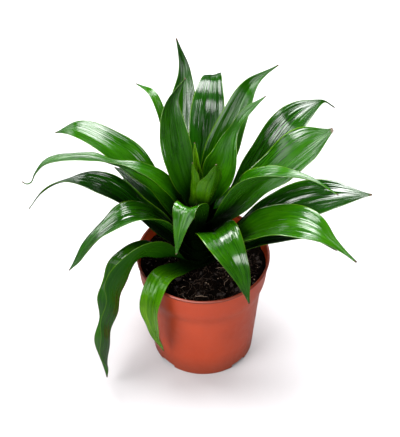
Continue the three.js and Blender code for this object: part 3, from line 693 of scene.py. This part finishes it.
def pot_piece(material):
    """The pot's outline turned round its axis, notched at the foot and drilled."""
    profile = pot_profile()[1:-1]
    marks = notch_angles()
    sharp_angle = math.radians(38)
    points, faces = [], []
    for angle, in_notch in marks:
        for r, z in profile:
            if in_notch and r > BASE_RADIUS - FOOT_RING - 2 and z < NOTCH_HEIGHT:
                z = NOTCH_HEIGHT
            points.append((r * math.cos(angle), r * math.sin(angle), z))
    n = len(profile)
    bottom, top = len(points), len(points) + 1
    points += [(0, 0, 0), (0, 0, FLOOR)]
    for k in range(len(marks)):
        a, b = k * n, (k + 1) % len(marks) * n
        faces += [(a + i, b + i, b + i + 1, a + i + 1) for i in range(n - 1)]
        faces += [(bottom, b, a), (top, a + n - 1, b + n - 1)]
    piece = mesh_object("pot_moulding", points, faces, material)
    drill = drain_cutter(material)
    cut = piece.modifiers.new("drains", "BOOLEAN")
    cut.operation, cut.object, cut.solver = "DIFFERENCE", drill, "EXACT"
    split = piece.modifiers.new("edges", "EDGE_SPLIT")
    split.split_angle = sharp_angle
    graph = bpy.context.evaluated_depsgraph_get()
    done = bpy.data.meshes.new_from_object(piece.evaluated_get(graph))
    piece.modifiers.clear()
    piece.data = done
    bpy.data.objects.remove(drill)
    return fit(piece, "pot", "pot")


# ---- soil
def soil_height(x, y):
    """The soil's mounded and crumbly top, as in the CAD source."""
    fall = min(math.hypot(x, y) / inner_radius(SOIL_EDGE), 1)
    mound = SOIL_CENTRE + (SOIL_EDGE - SOIL_CENTRE) * fall * fall
    crumbs = (math.sin(0.55 * x + 1.3) * math.sin(0.48 * y) + 0.6 * math.sin(0.9 * y - 0.7 * x + 2)
              + 0.4 * math.sin(1.3 * x + 0.8 * y))
    return mound + CRUMB * crumbs * (1 - fall ** 8)


def rough_soil(x, y):
    """The same top with finer clumps."""
    place = Vector((x * 0.16, y * 0.16, 3.1))
    clumps = noise.noise(place) * 1.6 + noise.noise(place * 2.7) * 1.1 + noise.noise(place * 7) * 0.45
    return soil_height(x, y) + clumps


def soil_piece(material):
    rings, sides = ((86, 200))
    radius = inner_radius(SOIL_EDGE) - 0.05
    gap = 0.3
    points = [(0, 0, rough_soil(0, 0))]
    for i in range(1, rings + 1):
        points += [(x, y, rough_soil(x, y)) for x, y, _ in circle(radius * i / rings, 0, sides)]
    walls = [(inner_radius(z) - 0.1, z) for z in (BAND_FOOT[1], SHOULDER_FOOT[1], 20)]
    walls += [
        (inner_radius(5) - 0.4, GUTTER_HEIGHT + FLOOR + gap),
        (PAD_RADIUS + 2.6, GUTTER_HEIGHT + FLOOR + gap), (PAD_RADIUS + 0.6, FLOOR + gap),
    ]
    for r, z in walls:
        points += circle(r, z, sides)
    faces = [(0, 1 + k, 1 + (k + 1) % sides) for k in range(sides)]
    bands = rings + len(walls) - 1
    for i in range(bands):
        faces += [(a, d, c, b) for a, b, c, d in band(1 + i * sides, 1 + (i + 1) * sides, sides)]
    faces.append(cap(1 + bands * sides, sides, upward=False))
    return fit(mesh_object("soil_bed", points, faces, material), "soil", "soil")


def spot(rng, reach):
    """A random place on the soil, clear of the cane."""
    while True:
        r, a = reach * math.sqrt(rng.random()), rng.uniform(0, FULL_TURN)
        x, y = r * math.cos(a), r * math.sin(a)
        if math.hypot(x - CANE_X, y) > CANE_RADIUS + 1.5:
            return x, y


def icosahedron():
    """The corners, one unit from the centre, and the faces of a regular icosahedron."""
    g = (1 + 5 ** 0.5) / 2
    corners = np.array([(-1, g, 0), (1, g, 0), (-1, -g, 0), (1, -g, 0), (0, -1, g), (0, 1, g),
                        (0, -1, -g), (0, 1, -g), (g, 0, -1), (g, 0, 1), (-g, 0, -1), (-g, 0, 1)])
    faces = [(0, 11, 5), (0, 5, 1), (0, 1, 7), (0, 7, 10), (0, 10, 11), (1, 5, 9), (5, 11, 4),
             (11, 10, 2), (10, 7, 6), (7, 1, 8), (3, 9, 4), (3, 4, 2), (3, 2, 6), (3, 6, 8),
             (3, 8, 9), (4, 9, 5), (2, 4, 11), (6, 2, 10), (8, 6, 7), (9, 8, 1)]
    return corners / np.linalg.norm(corners[0]), faces


def lumps_piece(name, count, sizes, material, rng, flatness=(0.6, 1.0)):
    """Irregular lumps strewn on the soil and sunk a little into it, one in five of them larger."""
    shape, sides = icosahedron()
    points, faces = [], []
    for _ in range(count):
        x, y = spot(rng, LUMPS_REACH)
        size = rng.uniform(*sizes) * (1 if rng.random() < 0.8 else 1.6)
        stretch = np.array([size * rng.uniform(0.7, 1.3), size * rng.uniform(0.7, 1.3),
                            size * rng.uniform(*flatness)])
        lump = shape * stretch * np.array([[rng.uniform(0.75, 1.25)] for _ in shape])
        turn, tip = rng.uniform(0, 6.28), rng.uniform(-0.6, 0.6)
        c, s = math.cos(turn), math.sin(turn)
        ct, st = math.cos(tip), math.sin(tip)
        lump = lump @ np.array([[1, 0, 0], [0, ct, -st], [0, st, ct]]).T
        lump = lump @ np.array([[c, -s, 0], [s, c, 0], [0, 0, 1]]).T
        start = len(points)
        base = rough_soil(x, y) + size * 0.25
        points += [(x + p[0], y + p[1], base + p[2]) for p in lump]
        faces += [tuple(start + corner for corner in side) for side in sides]
    return fit(mesh_object(name, points, faces, material, smooth=False), "soil")


def strands_piece(name, paths, material):
    """Thin tubes along paths of (points, radius), with tapered ends."""
    sides = 5
    points, faces = [], []
    for path, radius in paths:
        path = np.asarray(path, float)
        first, last = len(points), len(points) + (len(path) - 1) * sides
        for i, (p, d) in enumerate(zip(path, unit(np.gradient(path, axis=0)))):
            side = np.cross(d, (0.13, 0.21, 0.97))
            side /= np.linalg.norm(side)
            top = np.cross(side, d)
            r = radius * (0.35 if i in (0, len(path) - 1) else 1)
            points += [tuple(p + x * side + y * top) for x, y, _ in circle(r, 0, sides)]
        for ring in range(first, last, sides):
            faces += band(ring, ring + sides, sides)
        faces += [cap(first, sides, upward=False), cap(last, sides)]
    return fit(mesh_object(name, points, faces, material), "soil")


def fibre_paths(count, rng, lengths, radii):
    """Curved paths of random heading, length and bend that arch a little above the soil."""
    steps = 8
    shortest_step = 0.05
    paths = []
    for _ in range(count):
        x, y = spot(rng, FIBRES_REACH)
        heading, bend = rng.uniform(0, 6.28), rng.uniform(-0.25, 0.25)
        length, lift = rng.uniform(*lengths), rng.uniform(0.2, 1.6)
        path = []
        for i in range(steps):
            arch = lift * math.sin(math.pi * i / (steps - 1))
            path.append((x, y, rough_soil(x, y) + 0.1 + arch))
            x += math.cos(heading) * length / steps
            y += math.sin(heading) * length / steps
            heading += bend
            reach = math.hypot(x, y)
            if reach > FIBRE_ENDS_REACH:
                x, y = x * FIBRE_ENDS_REACH / reach, y * FIBRE_ENDS_REACH / reach
        if min(math.dist(a[:2], b[:2]) for a, b in zip(path, path[1:])) > shortest_step:
            paths.append((path, rng.uniform(*radii)))
    return paths


# ---- cane
def cane_piece(material):
    """The stem, ringed with leaf scars and tapered under the youngest leaves."""
    taper_foot, scar_pitch, axis = CANE_TOP - 24, 5.2, 0.01
    profile = [(axis, CANE_FOOT), (CANE_RADIUS - 1, CANE_FOOT), (CANE_RADIUS - 0.4, CANE_FOOT + 2)]
    z = SOIL_CENTRE - 6
    while z < taper_foot:
        profile += [(CANE_RADIUS - 0.5, z), (CANE_RADIUS, z + 0.7), (CANE_RADIUS - 0.2, z + 1.6)]
        z += scar_pitch
    profile += [(CANE_RADIUS - 0.8, taper_foot), (CANE_RADIUS * 0.7, CANE_TOP - 10)]
    profile += [(CANE_RADIUS * 0.45, CANE_TOP), (axis, CANE_TOP)]
    sides, points, faces = 40, [], []
    for r, z in profile:
        points += circle(r, z, sides, CANE_X)
    for i in range(len(profile) - 1):
        faces += band(i * sides, (i + 1) * sides, sides)
    return fit(mesh_object("cane_stem", points, faces, material), "cane", "cane")


# ---- stage, light and camera. Distances are in metres, but for the floor's.
FLOOR_REACH_MM = 3000
FLOOR_SEEN = (0.54, 0.53, 0.54)
FLOOR_BOUNCE = (0.28, 0.28, 0.28)
FLOOR_MIRRORED_NEAR, FLOOR_MIRRORED_FAR = (0.22, 0.22, 0.22), (0.08, 0.08, 0.08)
LAMPS_CENTRE = Vector((0, 0, 0.16))
LAMPS_DISTANCE = 1.3
# Each softbox: azimuth and elevation in degrees, width, height and power in watts.
LAMPS = {
    "overhead": (96, 76, 1.00, 0.80, 45.0),
    "front_left": (-141, 44, 0.60, 0.62, 16.0),
    "low_left": (-152, 8, 1.00, 0.52, 3.0),
    "back_left": (150, 22, 0.34, 0.62, 5.0),
    "back": (112, 12, 0.60, 0.24, 1.5),
    "back_right": (42, 56, 0.60, 0.48, 8.0),
    "front": (-72, 22, 1.00, 0.50, 11.0),
}
WORLD_STRENGTH = 0.03
# The camera's focal length is given in pixels of the photo, whose longer side is its height.
PHOTO_HEIGHT_PIXELS = 437
FOCAL_PIXELS = 1258.6
SENSOR_MM = 36
CAMERA_ELEVATION = math.radians(43.9)
CAMERA_TARGET = Vector((-0.0029, 0, 0.157))
CAMERA_DISTANCE = 1.1


def floor():
    """A plain floor, pale to the camera and darker in bounced light and reflections."""
    t = Tree("studio_floor")
    path = t.node("ShaderNodeLightPath")
    near = t.remap(path.outputs["Ray Length"], 0.08, 0.22, 1.0, 0.0)
    mirrored = t.mix(near, FLOOR_MIRRORED_FAR, FLOOR_MIRRORED_NEAR)
    unseen = t.mix(path.outputs["Is Glossy Ray"], FLOOR_BOUNCE, mirrored)
    shade = t.mix(path.outputs["Is Camera Ray"], unseen, FLOOR_SEEN)
    skin = t.finish(t.principled(Base_Color=shade, Roughness=0.8, Specular_IOR_Level=0.1))
    reach = FLOOR_REACH_MM
    corners = [(-reach, -reach, 0), (reach, -reach, 0), (reach, reach, 0), (-reach, reach, 0)]
    piece = mesh_object("floor", corners, [(0, 1, 2, 3)], skin, smooth=False)


def aim(name, data, place, target):
    """Puts a light or a camera at a place, turned to a target."""
    made = bpy.data.objects.new(name, data)
    bpy.context.scene.collection.objects.link(made)
    made.location = place
    made.rotation_euler = (target - place).to_track_quat("-Z", "Y").to_euler()
    return made


def direction(azimuth, elevation):
    return Vector((math.cos(azimuth) * math.cos(elevation), math.sin(azimuth) * math.cos(elevation),
                   math.sin(elevation)))


def lamps():
    for name, (azimuth, elevation, width, height, power) in LAMPS.items():
        data = bpy.data.lights.new(name, "AREA")
        data.shape, data.size, data.size_y, data.energy = "RECTANGLE", width, height, power
        towards = direction(math.radians(azimuth), math.radians(elevation))
        aim(name, data, LAMPS_CENTRE + towards * LAMPS_DISTANCE, LAMPS_CENTRE)


def world():
    made = bpy.data.worlds.new("studio")
    made.use_nodes = True
    background = made.node_tree.nodes["Background"]
    background.inputs["Color"].default_value = (1, 1, 1, 1)
    background.inputs["Strength"].default_value = WORLD_STRENGTH
    bpy.context.scene.world = made


def camera():
    data = bpy.data.cameras.new("camera")
    data.lens, data.sensor_width = FOCAL_PIXELS * SENSOR_MM / PHOTO_HEIGHT_PIXELS, SENSOR_MM
    data.clip_start, data.clip_end = 0.05, 20
    front = Vector((0, -math.cos(CAMERA_ELEVATION), math.sin(CAMERA_ELEVATION)))
    place = CAMERA_TARGET + front * CAMERA_DISTANCE
    bpy.context.scene.camera = aim("camera", data, place, CAMERA_TARGET)


# ---- build
leaf_skin = leaf_material()
for number, (name, settings) in enumerate(LEAVES.items(), 1):
    leaf_piece(name, Leaf(*settings), number, leaf_skin)
pot_piece(pot_material())
soil_skin = soil_material()
soil_piece(soil_skin)
cane_piece(plain_material("cane_bark", CANE_GREENS, 300, 0.7))

# The litter on the soil shares one random draw, so the order of these calls matters.
draw = random.Random(7)
lumps_piece("soil_crumbs", 2600, (0.35, 1.3), soil_skin, draw)
bark = plain_material("bark_bits", BARK_BROWNS, 500, 0.8)
lumps_piece("soil_bark", 220, (0.6, 1.8), bark, draw, (0.2, 0.5))
pale = plain_material("pale_bits", SPECK_GREYS, 600, 0.75)
lumps_piece("soil_specks", 130, (0.2, 0.5), pale, draw)
fibre = plain_material("peat_fibre", FIBRE_BROWNS, 500, 0.8, 0.1)
strands_piece("soil_fibres", fibre_paths(420, draw, (4, 15), (0.09, 0.2)), fibre)
root = plain_material("white_roots", ROOT_GREYS, 400, 0.6, 0.1)
strands_piece("soil_roots", fibre_paths(26, draw, (8, 20), (0.12, 0.26)), root)

floor()
lamps()
world()
camera()
bpy.context.scene.view_settings.view_transform = "Standard"
bpy.context.scene.view_settings.look = "None"
